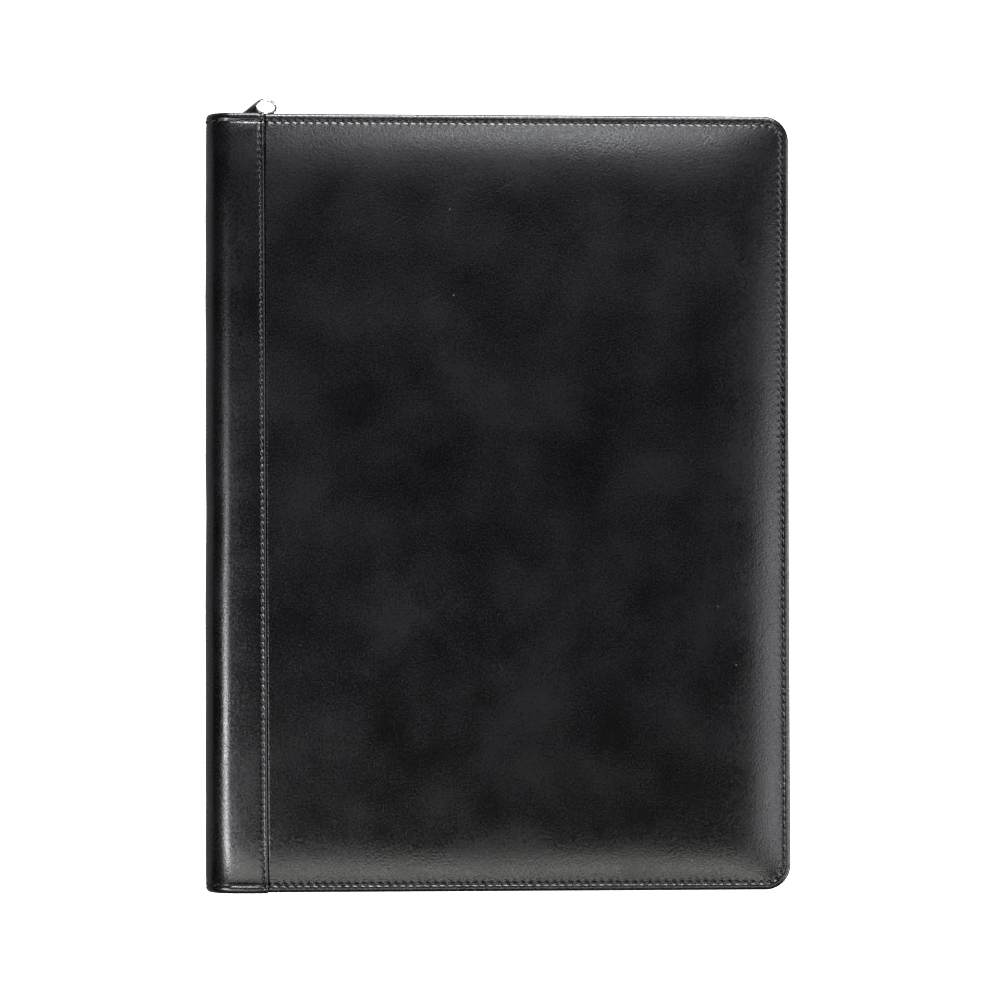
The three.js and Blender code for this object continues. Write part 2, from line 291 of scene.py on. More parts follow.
def add_piece(name, points, faces, material, flat=False):
    """A mesh of points and lists of faces of any size, its normals turned outwards."""
    mesh = bpy.data.meshes.new(name)
    corners = np.concatenate([np.asarray(group, np.int32).ravel() for group in faces])
    sizes = np.concatenate([np.full(len(group), len(group[0]), np.int32) for group in faces])
    mesh.vertices.add(len(points))
    mesh.vertices.foreach_set("co", np.asarray(points, np.float32).ravel())
    mesh.loops.add(len(corners))
    mesh.loops.foreach_set("vertex_index", corners)
    mesh.polygons.add(len(sizes))
    mesh.polygons.foreach_set("loop_start", np.cumsum(sizes) - sizes)
    mesh.update(calc_edges=True)
    mesh.validate()
    mesh.polygons.foreach_set("use_smooth", np.full(len(sizes), not flat))
    mesh.materials.append(material)
    made = bpy.data.objects.new(name, mesh)
    bpy.context.scene.collection.objects.link(made)
    turn_outwards(made)
    return made


def grid_faces(ids):
    """Quads between the neighbours of a grid of vertex numbers."""
    return np.stack([ids[:-1, :-1], ids[1:, :-1], ids[1:, 1:], ids[:-1, 1:]], axis=-1).reshape(-1, 4)


def thinning_faces(fine, coarse):
    """Faces between a row of many vertices and a row with one for each few of them: a fan of
    triangles from each coarse vertex, and a triangle that closes the gap between two fans."""
    step = (len(fine) - 1) // (len(coarse) - 1)
    starts = np.arange(len(coarse) - 1)
    half = step // 2
    fans = []
    for k in range(step):
        owner = coarse[starts] if k < half else coarse[starts + 1]
        fans.append(np.stack([owner, fine[starts * step + k], fine[starts * step + k + 1]], axis=-1))
    gaps = np.stack([coarse[starts], fine[starts * step + half], coarse[starts + 1]], axis=-1)
    return np.concatenate([*fans, gaps])


def patch_points(path, columns):
    """A grid across the inside of an outline: a Coons patch, which is the blend of the top and bottom
    lines plus the blend of the left and right lines, less the blend of the four corners."""
    along_end, round_corner, _ = columns
    turn = along_end + round_corner // 2
    top, right, bottom = path[: turn + 1], path[turn : len(path) - turn], path[::-1][: turn + 1]
    side = np.linspace(0, 1, len(right))[:, None]
    leftmost = top[0] + (bottom[0] - top[0]) * side
    u = np.linspace(0, 1, len(top))[None, :, None]
    v = side[:, None, :]
    across = leftmost[:, None] * (1 - u) + right[:, None] * u
    down = top[None] * (1 - v) + bottom[None] * v
    corners = (top[0] * (1 - u) + top[-1] * u) * (1 - v) + (bottom[0] * (1 - u) + bottom[-1] * u) * v
    return across + down - corners


fine_columns = (448, 32, 528)
coarse_columns = (112, 8, 132)
bead_turns = np.linspace(0, math.pi / 2, 8)[1:]
outer_insets = np.concatenate([
    bead_width * (1 - np.cos(bead_turns)),
    np.linspace(2.4, 5.75, 15) * MM,
    np.linspace(6.4 * MM, strip_depth, 7),
])
inner_insets = np.concatenate([bead_width * (1 - np.cos(bead_turns[1::2])), [2.8 * MM]])
middle_inset = strip_depth + 2.4 * MM
inner_face_inset = 5 * MM
hollow_inset = 9 * MM


def cover_mesh(name, facing, rim_inside, crown, sunk, seed):
    """A cover as a closed shell. Rows follow the edge from its outermost line over the bead and the
    groove to 12 mm inside it, a Coons patch fills the middle, and the inner face is the same with
    fewer rows. Under the spine's lap the leather lies lower."""

    def raised(xy, height, share):
        """Points at that height over the rim's inner face, sunk under the lap by a share of its drop."""
        x, y = xy[..., 0], xy[..., 1]
        lapped = np.clip((lap_edge(y) + lap_margin - x) / lap_ease, 0, 1)
        lapped = lapped * lapped * (3 - 2 * lapped)
        low = sunk * lapped + lap_roll(x, y)
        z = np.maximum(rim_inside + facing * (height - low * share), 0)
        return worn(np.concatenate([xy, z[..., None]], axis=-1))

    def outer_height(xy, inset):
        """The rim, plus the pad, plus slow waves that ease in from the edge and the lap."""
        waves = sum(
            slow_waves(xy[..., 0], xy[..., 1], length, seed + k) * height
            for k, (length, height) in enumerate(wave_table)
        )
        to_side, to_end = side_edge - xy[..., 0], cover_end - np.abs(xy[..., 1])
        to_lap = xy[..., 0] - lap_edge(xy[..., 1]) - still_by_lap
        to_edge = np.minimum(to_side, to_end) - still_by_edge
        free = np.clip(np.minimum(to_edge, to_lap) / wave_ease, 0, 1)
        pad = (crown + groove_depth) * pad_rise(to_side) * pad_rise(to_end)
        return rim_height(inset) + pad + waves * free

    edge_xy = outline_path(0, fine_columns)
    edge = raised(edge_xy, np.full(len(edge_xy), rim_thickness / 2), 0.5)
    strip_xy = np.stack([outline_path(inset, fine_columns) for inset in outer_insets])
    depth = np.broadcast_to(outer_insets[:, None], strip_xy.shape[:2])
    strip_height = outer_height(strip_xy, depth) + pucker(depth, stitch_walk)
    strip = raised(strip_xy, strip_height, np.minimum(strip_height / rim_thickness, 1))
    middle_xy = patch_points(outline_path(middle_inset, coarse_columns), coarse_columns)
    middle = raised(middle_xy, outer_height(middle_xy, strip_depth), 1)

    under_xy = np.stack([outline_path(inset, fine_columns) for inset in inner_insets])
    under_depth = np.broadcast_to(inner_insets[:, None], under_xy.shape[:2])
    bead_below = rim_thickness - bead_height(under_depth)
    under = raised(under_xy, bead_below, np.clip(bead_below / rim_thickness, 0, 1))
    below_xy = patch_points(outline_path(inner_face_inset, coarse_columns), coarse_columns)
    hollow = pad_rise(side_edge - below_xy[..., 0] - hollow_inset)
    hollow = hollow * pad_rise(cover_end - np.abs(below_xy[..., 1]) - hollow_inset)
    below = raised(below_xy, crown * hollow, 0)

    grids = [edge[None], strip, middle, under, below]
    starts = np.cumsum([0, *[grid.shape[0] * grid.shape[1] for grid in grids]])
    ids = [np.arange(a, b).reshape(grid.shape[:2]) for a, b, grid in zip(starts, starts[1:], grids)]
    edge_ids, strip_ids, middle_ids, under_ids, below_ids = ids

    def rim_of(patch):
        """A patch's line along the edge: its first row, its last column, and its last row back."""
        return np.concatenate([patch[0], patch[1:-1, -1], patch[-1][::-1]])

    quads = [
        grid_faces(np.concatenate([edge_ids, strip_ids])),
        grid_faces(middle_ids),
        grid_faces(np.concatenate([edge_ids, under_ids])),
        grid_faces(below_ids),
    ]
    triangles = [
        thinning_faces(strip_ids[-1], rim_of(middle_ids)),
        thinning_faces(under_ids[-1], rim_of(below_ids)),
    ]
    outer_end = [*strip_ids[:, 0], *middle_ids[:, 0], *strip_ids[::-1, -1], edge_ids[0, -1]]
    inner_end = [*under_ids[:, -1], *below_ids[::-1, 0], *under_ids[::-1, 0], edge_ids[0, 0]]
    faces = [np.concatenate(quads), np.concatenate(triangles), [outer_end + inner_end]]
    points = np.concatenate([grid.reshape(-1, 3) for grid in grids])
    return add_piece(name, points, faces, cover_leather)


# The leather's finish: aniline black with a soft wax gloss, a fine pebble grain with pores, slow clouds
# where it was stretched over the board, and a few hairline scratches and specks of dust.
dark_tone = (0.0007, 0.0007, 0.0009, 1)
light_tone = (0.0027, 0.0027, 0.0034, 1)
scratch_tone = (0.018, 0.018, 0.019, 1)
dust_tone = (0.11, 0.105, 0.10, 1)
roughness_spread = 0.08


def calculate(tree, operation, *values):
    """The result of that operation on values or sockets."""
    return add_node(tree, "ShaderNodeMath", dict(enumerate(values)), operation=operation).outputs[0]


def map_range(tree, value, source=(0.0, 1.0), target=(0.0, 1.0)):
    """The value moved from the source range to the target range, and held inside it."""
    inputs = {"Value": value, "From Min": source[0], "From Max": source[1]}
    inputs.update({"To Min": target[0], "To Max": target[1]})
    return add_node(tree, "ShaderNodeMapRange", inputs).outputs["Result"]


def noise(tree, point, scale, detail=2.0, output="Fac"):
    """Smooth noise with that many features to the unit of length, and that many finer layers."""
    inputs = {"Vector": point, "Scale": scale, "Detail": detail}
    return add_node(tree, "ShaderNodeTexNoise", inputs).outputs[output]


def cells(tree, point, scale):
    """The distance to the nearest of scattered points, with that many to the unit of length."""
    return add_node(tree, "ShaderNodeTexVoronoi", {"Vector": point, "Scale": scale}).outputs["Distance"]


def dress(tree, shader, colour, height, depth, strength=1.0):
    """Gives the shader its colour, and the relief of a height whose range of one is that deep."""
    inputs = {"Height": height, "Distance": depth, "Strength": strength}
    relief = add_node(tree, "ShaderNodeBump", inputs)
    tree.links.new(colour, shader.inputs["Base Color"])
    tree.links.new(relief.outputs["Normal"], shader.inputs["Normal"])


def build_leather_grain():
    """A group that gives masks and heights of the leather's surface at a point."""
    tree = bpy.data.node_groups.new("leather_grain", "ShaderNodeTree")
    tree.interface.new_socket("Point", in_out="INPUT", socket_type="NodeSocketVector")
    tree.interface.new_socket("Cell", in_out="INPUT", socket_type="NodeSocketFloat")
    entry = add_node(tree, "NodeGroupInput")
    point, cell = entry.outputs["Point"], entry.outputs["Cell"]
    push = {0: noise(tree, point, 260.0, output="Color"), "Scale": 1.2 * MM}
    shift = add_node(tree, "ShaderNodeVectorMath", push, operation="SCALE").outputs[0]
    warped = add_node(tree, "ShaderNodeVectorMath", {0: point, 1: shift}, operation="ADD").outputs[0]
    fine = noise(tree, point, 1250.0)
    pebbles = cells(tree, warped, calculate(tree, "DIVIDE", 1.0, cell))
    hills = calculate(tree, "SUBTRACT", 1.0, pebbles)
    scratches = 0.0
    for turn in (0.5, 1.9, 2.7):
        laid = add_node(
            tree,
            "ShaderNodeMapping",
            {"Vector": point, "Rotation": (0, 0, turn), "Scale": (30 * MM, 0.7 * MM, 1.0)},
            vector_type="TEXTURE",
        )
        streak = map_range(tree, noise(tree, laid.outputs[0], 1.0, detail=1.0), (0.76, 0.84))
        scratches = calculate(tree, "MAXIMUM", scratches, streak)
    results = {
        "Clouds": noise(tree, point, 32.0, detail=4.0),
        "Grain": calculate(tree, "MULTIPLY_ADD", fine, 0.5, hills),
        "Speckle": map_range(tree, fine, (0.36, 0.64)),
        "Pores": map_range(tree, cells(tree, warped, 520.0), (0.20, 0.06)),
        "Scratches": scratches,
        "Specks": map_range(tree, cells(tree, point, 42.0), (0.016, 0.008)),
    }
    for name in results:
        tree.interface.new_socket(name, in_out="OUTPUT", socket_type="NodeSocketFloat")
    add_node(tree, "NodeGroupOutput", results)
    return tree


leather_grain = build_leather_grain()


def black_leather(name, cell, roughness, grain_depth):
    """Black leather with grain cells of that size, that mean roughness and so deep a relief."""
    made, tree, shader = add_material(name)
    inputs = {"Point": add_node(tree, "ShaderNodeTexCoord").outputs["Object"], "Cell": cell}
    skin = add_node(tree, "ShaderNodeGroup", inputs, node_tree=leather_grain).outputs
    patches = calculate(tree, "MULTIPLY_ADD", skin["Speckle"], 0.4, skin["Clouds"])
    mottle = map_range(tree, patches, (0.35, 1.05))
    tone = mix_colours(tree, mottle, dark_tone, light_tone)
    tone = mix_colours(tree, skin["Scratches"], tone, scratch_tone)
    tone = mix_colours(tree, skin["Specks"], tone, dust_tone)
    relief = calculate(tree, "MULTIPLY_ADD", skin["Pores"], -0.6, skin["Grain"])
    dress(tree, shader, tone, relief, grain_depth)
    spread = (roughness - roughness_spread, roughness + roughness_spread)
    tree.links.new(map_range(tree, mottle, target=spread), shader.inputs["Roughness"])
    return made


cover_leather = black_leather("cover_leather", cell=0.8 * MM, roughness=0.265, grain_depth=0.052 * MM)
stitch_xy = outline_path(stitch_inset, fine_columns)
stitch_walk = walk_along(stitch_xy)
back_crown = 2 * MM
front_crown = 3.2 * MM
back_rim_inside = back_crown + rim_thickness
front_rim_inside = front_high[2] - front_crown - rim_thickness
seam_step = spine_high[2] - front_high[2]
spine_wall = 1.2 * MM
clearance = 0.3 * MM
back_sunk = spine_wall + clearance
front_sunk = back_sunk - seam_step

front_cover = cover_mesh("front_cover_leather", 1, front_rim_inside, front_crown, front_sunk, seed=11)
back_cover = cover_mesh("back_cover_leather", -1, back_rim_inside, back_crown, back_sunk, seed=23)
for cover, node in ((front_cover, "front_cover"), (back_cover, "back_cover")):
    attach(cover, "case")
    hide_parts(node)


# The spine: one piece of the same leather, wrapped round the fold and lapped over both covers. The
# cut edges of the laps are rounded, the ends are turned in, and a seam holds each lap down.
fold_lean = math.radians(5.5)
fold_reach = spine_round / (1 - math.sin(fold_lean))
spine_end = spine_height / 2
lap_edge_round = 0.5 * MM
plain_lap = 6 * MM
seam_inset = 1.8 * MM
seam_pitch = 3.1 * MM
seam_groove = 0.2 * MM
seam_pit = 0.22 * MM
seam_scallop = 0.07 * MM
hem_round = 2.6 * MM
hem_line = spine_end - cover_end + stitch_inset
hem_first = 1.4 * MM
hem_groove = 0.12 * MM
hem_pit = 0.4 * MM
hem_reach = 0.55 * MM
fold_draw = 0.3 * MM
fold_draw_reach = 1.1 * MM
ruffle_length = 26 * MM
ruffle_height = 0.05 * MM
ripple_length = 45 * MM
ripple_height = 0.25 * MM


def spine_heights(y):
    """Levels of the laps' outer faces in front and at the back, which follow the covers' own section."""
    from_end = spine_end - np.abs(y)
    hemmed = from_end * stitch_inset / hem_line
    inset = np.where(from_end < hem_line, hemmed, from_end - spine_end + cover_end)
    front = front_rim_inside + pad_height(inset, front_crown) + seam_step
    return front, back_rim_inside - pad_height(inset, back_crown)


def spine_section(y, flats, turns):
    """The outer line of the section at each y, from the front lap's edge round to the back lap's: its
    points and outward normals. flats holds distances from a lap's edge, and turns the angles round
    the half ellipse between the laps. Near an end the corner is rounded in plan, and the stitches of
    the hem pull the curve in."""
    front, back = (level[:, None] for level in spine_heights(y))
    lap = lap_edge(y)[:, None]
    from_end = (spine_end - np.abs(y))[:, None]
    corner = np.clip(1 - from_end / hem_round, 0, 1)
    reach = fold_reach - hem_round * (1 - np.sqrt(1 - corner**2))
    reach = reach - fold_draw * bell(from_end - hem_line, fold_draw_reach)
    lap_width = lap - left - fold_reach + reach * math.sin(fold_lean)
    flat_x = lap - np.where(flats < plain_lap, flats, flats / flats[-1] * lap_width)
    roll = lap_roll_depth * ((lap - flat_x) / lap_width) ** lap_roll_power
    middle, half = (front + back) / 2, ((front - back) / 2 - lap_roll_depth) / math.cos(fold_lean)
    arc_x = left + fold_reach - reach * np.sin(turns)
    arc_z = middle + half * np.cos(turns)
    over = np.maximum(lap_edge_round - flats, 0)
    edge = lap_edge_round - np.sqrt(np.maximum(lap_edge_round**2 - over**2, 0))
    beat = np.cos(2 * math.pi * y[:, None] / seam_pitch)
    drawn = (seam_groove + seam_pit * (1 + beat) / 2) * bell(flats - seam_inset, hole_reach)
    drawn = drawn + seam_scallop * bell(flats - seam_inset, pull_reach_aside) * beat
    hem_beat = np.cos(2 * math.pi * (lap - flat_x - hem_first) / perimeter_pitch)
    hem_pits = hem_groove + hem_pit * ((1 + hem_beat) / 2) ** 2
    drawn = drawn + hem_pits * bell(from_end - hem_line, hem_reach)
    ruffled = slow_waves(flat_x, y[:, None] + 0 * flat_x, ruffle_length, 5) * ruffle_height
    sink = edge + drawn - ruffled + roll
    x = np.concatenate([flat_x, arc_x, flat_x[:, ::-1]], axis=1)
    z = np.concatenate([front - sink, arc_z, (back + sink)[:, ::-1]], axis=1)
    level = np.zeros(len(flats))
    ahead = np.concatenate([level, -np.sin(turns), level]) + 0 * x
    up = np.concatenate([level + 1, np.cos(turns), level - 1]) + 0 * x
    along = np.broadcast_to(y[:, None], x.shape)
    return np.stack([x, along, z], axis=-1), np.stack([ahead, 0 * ahead, up], axis=-1)


def end_faces(loop):
    """Quads that close the end of a folded loop, whose second half runs back along its first."""
    half = len(loop) // 2
    there, back = loop[:half], loop[::-1][:half]
    return np.stack([there[:-1], there[1:], back[1:], back[:-1]], axis=-1)


lap_flats = [0, 0.04, 0.14, 0.3, 0.5, *np.arange(0.75, 3.6, 0.25), 4.2, 5.0, 6.5, 9, 12]
lap_flats = np.array(lap_flats) * MM
fold_turns = np.linspace(fold_lean, math.pi - fold_lean, 33)[1:-1]
half_rows = np.arange(0, 164.3, 0.62) * MM
end_steps = [5, 4.6, 4.2, 3.8, 3.4, 3, 2.6, 2.2, 1.8, 1.4, 1.05, 0.75, 0.5, 0.3, 0.15, 0.05, 0.01]
upper_rows = np.concatenate([half_rows, spine_end - np.array(end_steps) * MM])
spine_rows = np.concatenate([-upper_rows[:0:-1], upper_rows])
outer, outward = spine_section(spine_rows, lap_flats, fold_turns)
ripple = slow_waves(outer[..., 1], outer[..., 2], ripple_length, 8) * ripple_height
ripple *= np.clip(-outward[..., 0], 0, 1) * np.clip((spine_end - np.abs(outer[..., 1])) / wave_ease, 0, 1)
outer = outer + outward * ripple[..., None]
end_share = np.clip(1 - (spine_end - np.abs(spine_rows)) / (spine_wall / 2), 0, 1)[:, None, None]
thinned = spine_wall / 2 * (1 - np.sqrt(1 - end_share**2))
outside = outer - outward * thinned
inside = outer - outward * (spine_wall - thinned)
loops = np.concatenate([outside, inside[:, ::-1]], axis=1)
loop_ids = np.arange(loops.shape[0] * loops.shape[1]).reshape(loops.shape[:2])
closed_ids = np.concatenate([loop_ids, loop_ids[:, :1]], axis=1)
spine_faces = [np.concatenate([grid_faces(closed_ids), end_faces(loop_ids[0]), end_faces(loop_ids[-1])])]
spine_leather = black_leather("spine_leather", cell=0.8 * MM, roughness=0.26, grain_depth=0.03 * MM)
spine = add_piece("spine_leather_wrap", worn(loops.reshape(-1, 3)), spine_faces, spine_leather)
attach(spine, "case")
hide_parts("spine_wrap")


# The stitching: round black waxed thread, lockstitched. Each stitch lies slightly aslant between two
# needle holes, stands up in its middle and dives into the leather at its ends.
thread_radius = 0.38 * MM
thread_sides = 8
stitch_slant = 0.3
stitch_rise = 0.24 * MM
stitch_arch = 0.5 * MM
stitch_reach = 0.44
twist_length = 0.42 * MM
hem_sink = 0.02 * MM


def build_thread():
    """Black waxed thread: its plies are a wave along the twist attribute."""
    made, tree, shader = add_material("black_thread")
    twist = add_node(tree, "ShaderNodeAttribute", attribute_name="twist").outputs["Fac"]
    plies = calculate(tree, "SINE", calculate(tree, "MULTIPLY", twist, 2 * math.pi))
    place = add_node(tree, "ShaderNodeTexCoord").outputs["Object"]
    fibres = noise(tree, place, 2500.0)
    tone = mix_colours(tree, fibres, (0.003, 0.003, 0.0035, 1), (0.009, 0.009, 0.010, 1))
    dress(tree, shader, tone, plies, 0.05 * MM)
    shader.inputs["Roughness"].default_value = 0.26
    return made


black_thread = build_thread()


def add_stitches(name, middles, ahead, up, pitch):
    """One capsule a stitch. Its middle line is an arch that falls off with the square of the way to its
    ends. Its radius falls off towards both ends, as the root of one less a power."""
    share = np.array([-1, -0.86, -0.55, 0, 0.55, 0.86, 1])
    turns = np.linspace(0, 2 * math.pi, thread_sides + 1)[:-1] - math.pi / 2
    radius = thread_radius * np.sqrt(1 - 0.75 * share**6)
    along = share * pitch * stitch_reach
    rise = stitch_rise - stitch_arch * share**2
    ring_up = rise[:, None] + radius[:, None] * np.sin(turns)
    ring_side = radius[:, None] * np.cos(turns) + np.tan(stitch_slant) * along[:, None]
    ring_along = along[:, None] + 0 * ring_up
    template = np.stack([ring_along, ring_side, ring_up], axis=-1).reshape(-1, 3)
    frames = np.stack([ahead, np.cross(up, ahead), up], axis=1)
    points = middles[:, None] + np.einsum("vk,skc->svc", template, frames)
    ids = np.arange(len(template)).reshape(ring_up.shape)
    quads = grid_faces(np.concatenate([ids, ids[:, :1]], axis=1))
    caps = np.stack([ids[0], ids[-1][::-1]])
    offsets = (np.arange(len(middles)) * len(template))[:, None, None]
    faces = [(quads[None] + offsets).reshape(-1, 4), (caps[None] + offsets).reshape(-1, thread_sides)]
    made = add_piece(name, worn(points.reshape(-1, 3)), faces, black_thread)
    twist = (ring_along / twist_length + np.arange(thread_sides) / thread_sides).ravel()
    layer = made.data.attributes.new("twist", "FLOAT", "POINT")
    layer.data.foreach_set("value", np.tile(twist, len(middles)).astype(np.float32))
    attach(made, "case")


def along_line(line, normals, pitch, first, last):
    """Middles of the stitches between two distances along a line, with the way ahead and the normal."""
    walk = walk_along(line)
    count = int((min(last, walk[-1]) - first) / pitch)
    holes = first + np.arange(count + 1) * pitch
    middles = (holes[1:] + holes[:-1]) / 2

    def at(values, places):
        """The values at those distances along the line."""
        return np.stack([np.interp(places, walk, values[:, k]) for k in range(3)], axis=-1)

    ahead = at(line, holes[1:]) - at(line, holes[:-1])
    ahead /= np.linalg.norm(ahead, axis=1, keepdims=True)
    up = at(normals, middles)
    up -= ahead * np.sum(up * ahead, axis=1, keepdims=True)
    up /= np.linalg.norm(up, axis=1, keepdims=True)
    return at(line, middles), ahead, up


def upright(line, facing):
    """Normals that all point up, or all down."""
    return np.stack([0 * line[:, 0], 0 * line[:, 0], 0 * line[:, 0] + facing], axis=-1)


# Name, way out, level of the stitches at the edge, and how deep the seam lies in the lap.
stitch_sides = (
    ("front", 1, front_rim_inside + pad_height(stitch_inset, front_crown), 0.2 * MM),
    ("back", -1, back_rim_inside - pad_height(stitch_inset, back_crown), 0.5 * MM),
)
seam_y = np.linspace(-spine_end, spine_end, 1201)
edge_first = math.ceil((lap_edge(cover_end) + 0.9 * MM - cover_start) / perimeter_pitch) * perimeter_pitch
edge_last = stitch_walk[-1] - (lap_edge(-cover_end) + 0.6 * MM - cover_start)
seam_first = hem_line + seam_pitch / 2
for name, facing, level, seam_sink in stitch_sides:
    line = np.concatenate([stitch_xy, np.full((len(stitch_xy), 1), level)], axis=1)
    placed = along_line(line, upright(line, facing), perimeter_pitch, edge_first, edge_last)
    add_stitches(f"{name}_edge_stitching", *placed, perimeter_pitch)

    seam_z = spine_heights(seam_y)[0 if facing > 0 else 1] - facing * seam_sink
    seam_line = np.stack([lap_edge(seam_y) - seam_inset, seam_y, seam_z], axis=-1)
    seam_up = upright(seam_line, facing)
    placed = along_line(seam_line, seam_up, seam_pitch, seam_first, spine_height - seam_first)
    add_stitches(f"{name}_spine_seam", *placed, seam_pitch)

hem_rows = []
for way in (1, -1):
    hem_y = np.array([way * (spine_end - hem_line)])
    hem_outer, hem_normal = spine_section(hem_y, lap_flats, fold_turns)
    line = hem_outer[0] - hem_normal[0] * hem_sink
    hem_rows.append(along_line(line, hem_normal[0], perimeter_pitch, hem_first, math.inf))
placed = [np.concatenate(group) for group in zip(*hem_rows)]
add_stitches("spine_hem_stitching", *placed, perimeter_pitch)


# The zip's two tapes: black woven tape, glued under each rim and folded in to the chain. It ripples a
# little between the rim and the teeth.
zip_level = (back_rim_inside + front_rim_inside) / 2
chain_inset = 8 * MM
tape_start = left + 8 * MM
tape_columns = (288, 16, 396)
tape_half = 0.42 * MM
tape_edge = 2.2 * MM
tape_margin = 0.75 * MM
tape_knee = 5 * MM
slack_start = 1.5 * MM
slack_width = 6.5 * MM
slack_length = 22 * MM
slack_height = 0.35 * MM
yarn_pitch = 0.55 * MM
rib_pitch = 0.8 * MM


def bezier(corners, count):
    """Points on a cubic Bezier curve."""
    t = np.linspace(0, 1, count)[:, None]
    a, b, c, d = (np.array(corner) for corner in corners)
    return (1 - t) ** 3 * a + 3 * (1 - t) ** 2 * t * b + 3 * (1 - t) * t**2 * c + t**3 * d


def tape_section(facing, rim_inside):
    """The tape's middle line as insets and levels, and its normals."""
    margin = rim_inside - facing * tape_margin
    knee = zip_level + facing * tape_knee
    glued = np.array([[3.15 * MM, margin], [3.9 * MM, margin], [4.7 * MM, margin]])
    drop = [(chain_inset, knee + facing * 1.2 * MM), (chain_inset, knee)]
    bend = bezier([(5.4 * MM, margin), (7.4 * MM, margin), *drop], 14)
    strip = np.linspace([chain_inset, knee], [chain_inset, zip_level + facing * tape_edge], 7)[1:]
    middle = np.concatenate([glued, bend, strip])
    ahead = np.gradient(middle, axis=0)
    ahead /= np.linalg.norm(ahead, axis=1, keepdims=True)
    return middle, np.stack([-ahead[:, 1], ahead[:, 0]], axis=-1)


def build_tape():
    """Black woven tape: ribs across it and yarns along it, over which the weave's floats step."""
    made, tree, shader = add_material("woven_tape")
    weave = add_node(tree, "ShaderNodeAttribute", attribute_name="weave").outputs["Vector"]
    split = add_node(tree, "ShaderNodeSeparateXYZ", {"Vector": weave})

    def wave(value, length, push=0.0):
        """The sine of a value's turns in waves of that length, pushed on by an angle."""
        angle = calculate(tree, "MULTIPLY_ADD", value, 2 * math.pi / length, push)
        return calculate(tree, "SINE", angle)

    yarns = wave(split.outputs["Y"], yarn_pitch)
    floats = wave(split.outputs["X"], rib_pitch, calculate(tree, "MULTIPLY", yarns, 1.6))
    fuzz = noise(tree, weave, 900.0, detail=3.0)
    tone = mix_colours(tree, fuzz, (0.006, 0.006, 0.007, 1), (0.024, 0.024, 0.026, 1))
    dress(tree, shader, tone, calculate(tree, "ADD", yarns, floats), 0.06 * MM)
    shader.inputs["Roughness"].default_value = 0.75
    shader.inputs["Sheen Weight"].default_value = 0.25
    shader.inputs["Sheen Roughness"].default_value = 0.4
    return made


woven_tape = build_tape()
tape_walk = walk_along(outline_path(chain_inset, tape_columns, tape_start))
for name, facing, rim_inside in (("front", 1, front_rim_inside), ("back", -1, back_rim_inside)):
    middle, across = tape_section(facing, rim_inside)
    sides = []
    for way in (1, -1):
        line = middle + way * tape_half * across
        rows = [outline_path(inset, tape_columns, tape_start) for inset in line[:, 0]]
        level = np.broadcast_to(line[:, 1:2], (len(rows), len(rows[0])))
        sides.append(np.concatenate([np.stack(rows), level[..., None]], axis=-1))
    around = np.concatenate([sides[0], sides[1][::-1]])
    width = walk_along(middle)
    width = np.concatenate([width, width[::-1]])[:, None] + 0 * around[..., 0]
    walk = tape_walk[None, :] + 0 * width
    slack = np.sin(math.pi * np.clip((width - slack_start) / slack_width, 0, 1))
    around[..., 2] += facing * slack * slow_waves(walk, 3 * width, slack_length, 31) * slack_height
    ids = np.arange(around.shape[0] * around.shape[1]).reshape(around.shape[:2])
    sheets = grid_faces(np.concatenate([ids, ids[:1]]))
    faces = [np.concatenate([sheets, end_faces(ids[:, 0]), end_faces(ids[:, -1])])]
    tape = add_piece(f"{name}_zip_tape", worn(around.reshape(-1, 3)), faces, woven_tape)
    weave = np.stack([walk, width, 0 * walk], axis=-1)
    layer = tape.data.attributes.new("weave", "FLOAT_VECTOR", "POINT")
    layer.data.foreach_set("vector", weave.astype(np.float32).ravel())
    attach(tape, "case")
    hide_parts(f"zip_tape_{name}")


# The zip's chain: cast nickel teeth clamped on the edges of the two tapes, each with a rounded head
# that sits between two teeth of the other side.
tooth_pitch = 2.9 * MM
tooth_half = 1.1 * MM
tooth_bevel = 0.2 * MM
tooth_middle = np.array([0, 0.9 * MM])
chain_start = left + 11.1 * MM
chain_margins = (0.8 * MM, 2.4 * MM)


def build_nickel(name, tone, roughness):
    """Polished nickel with a slightly uneven gloss and fine scratches from use."""
    made, tree, shader = add_material(name)
    place = add_node(tree, "ShaderNodeTexCoord").outputs["Object"]
    smears = noise(tree, place, 400.0, detail=3.0)
    brushed = {"Vector": place, "Rotation": (0.3, 0.2, 0.6), "Scale": (300.0, 9000.0, 300.0)}
    laid = add_node(tree, "ShaderNodeMapping", brushed).outputs[0]
    dull_tone = (*(0.9 * c for c in tone[:3]), 1)
    colour = mix_colours(tree, smears, tone, dull_tone)
    dress(tree, shader, colour, noise(tree, laid, 1.0), 0.004 * MM, strength=0.3)
    rough = map_range(tree, smears, target=(roughness - 0.06, roughness + 0.08))
    tree.links.new(rough, shader.inputs["Roughness"])
    shader.inputs["Metallic"].default_value = 1.0
    return made


zip_nickel = build_nickel("zip_nickel", (0.66, 0.64, 0.60, 1), 0.26)
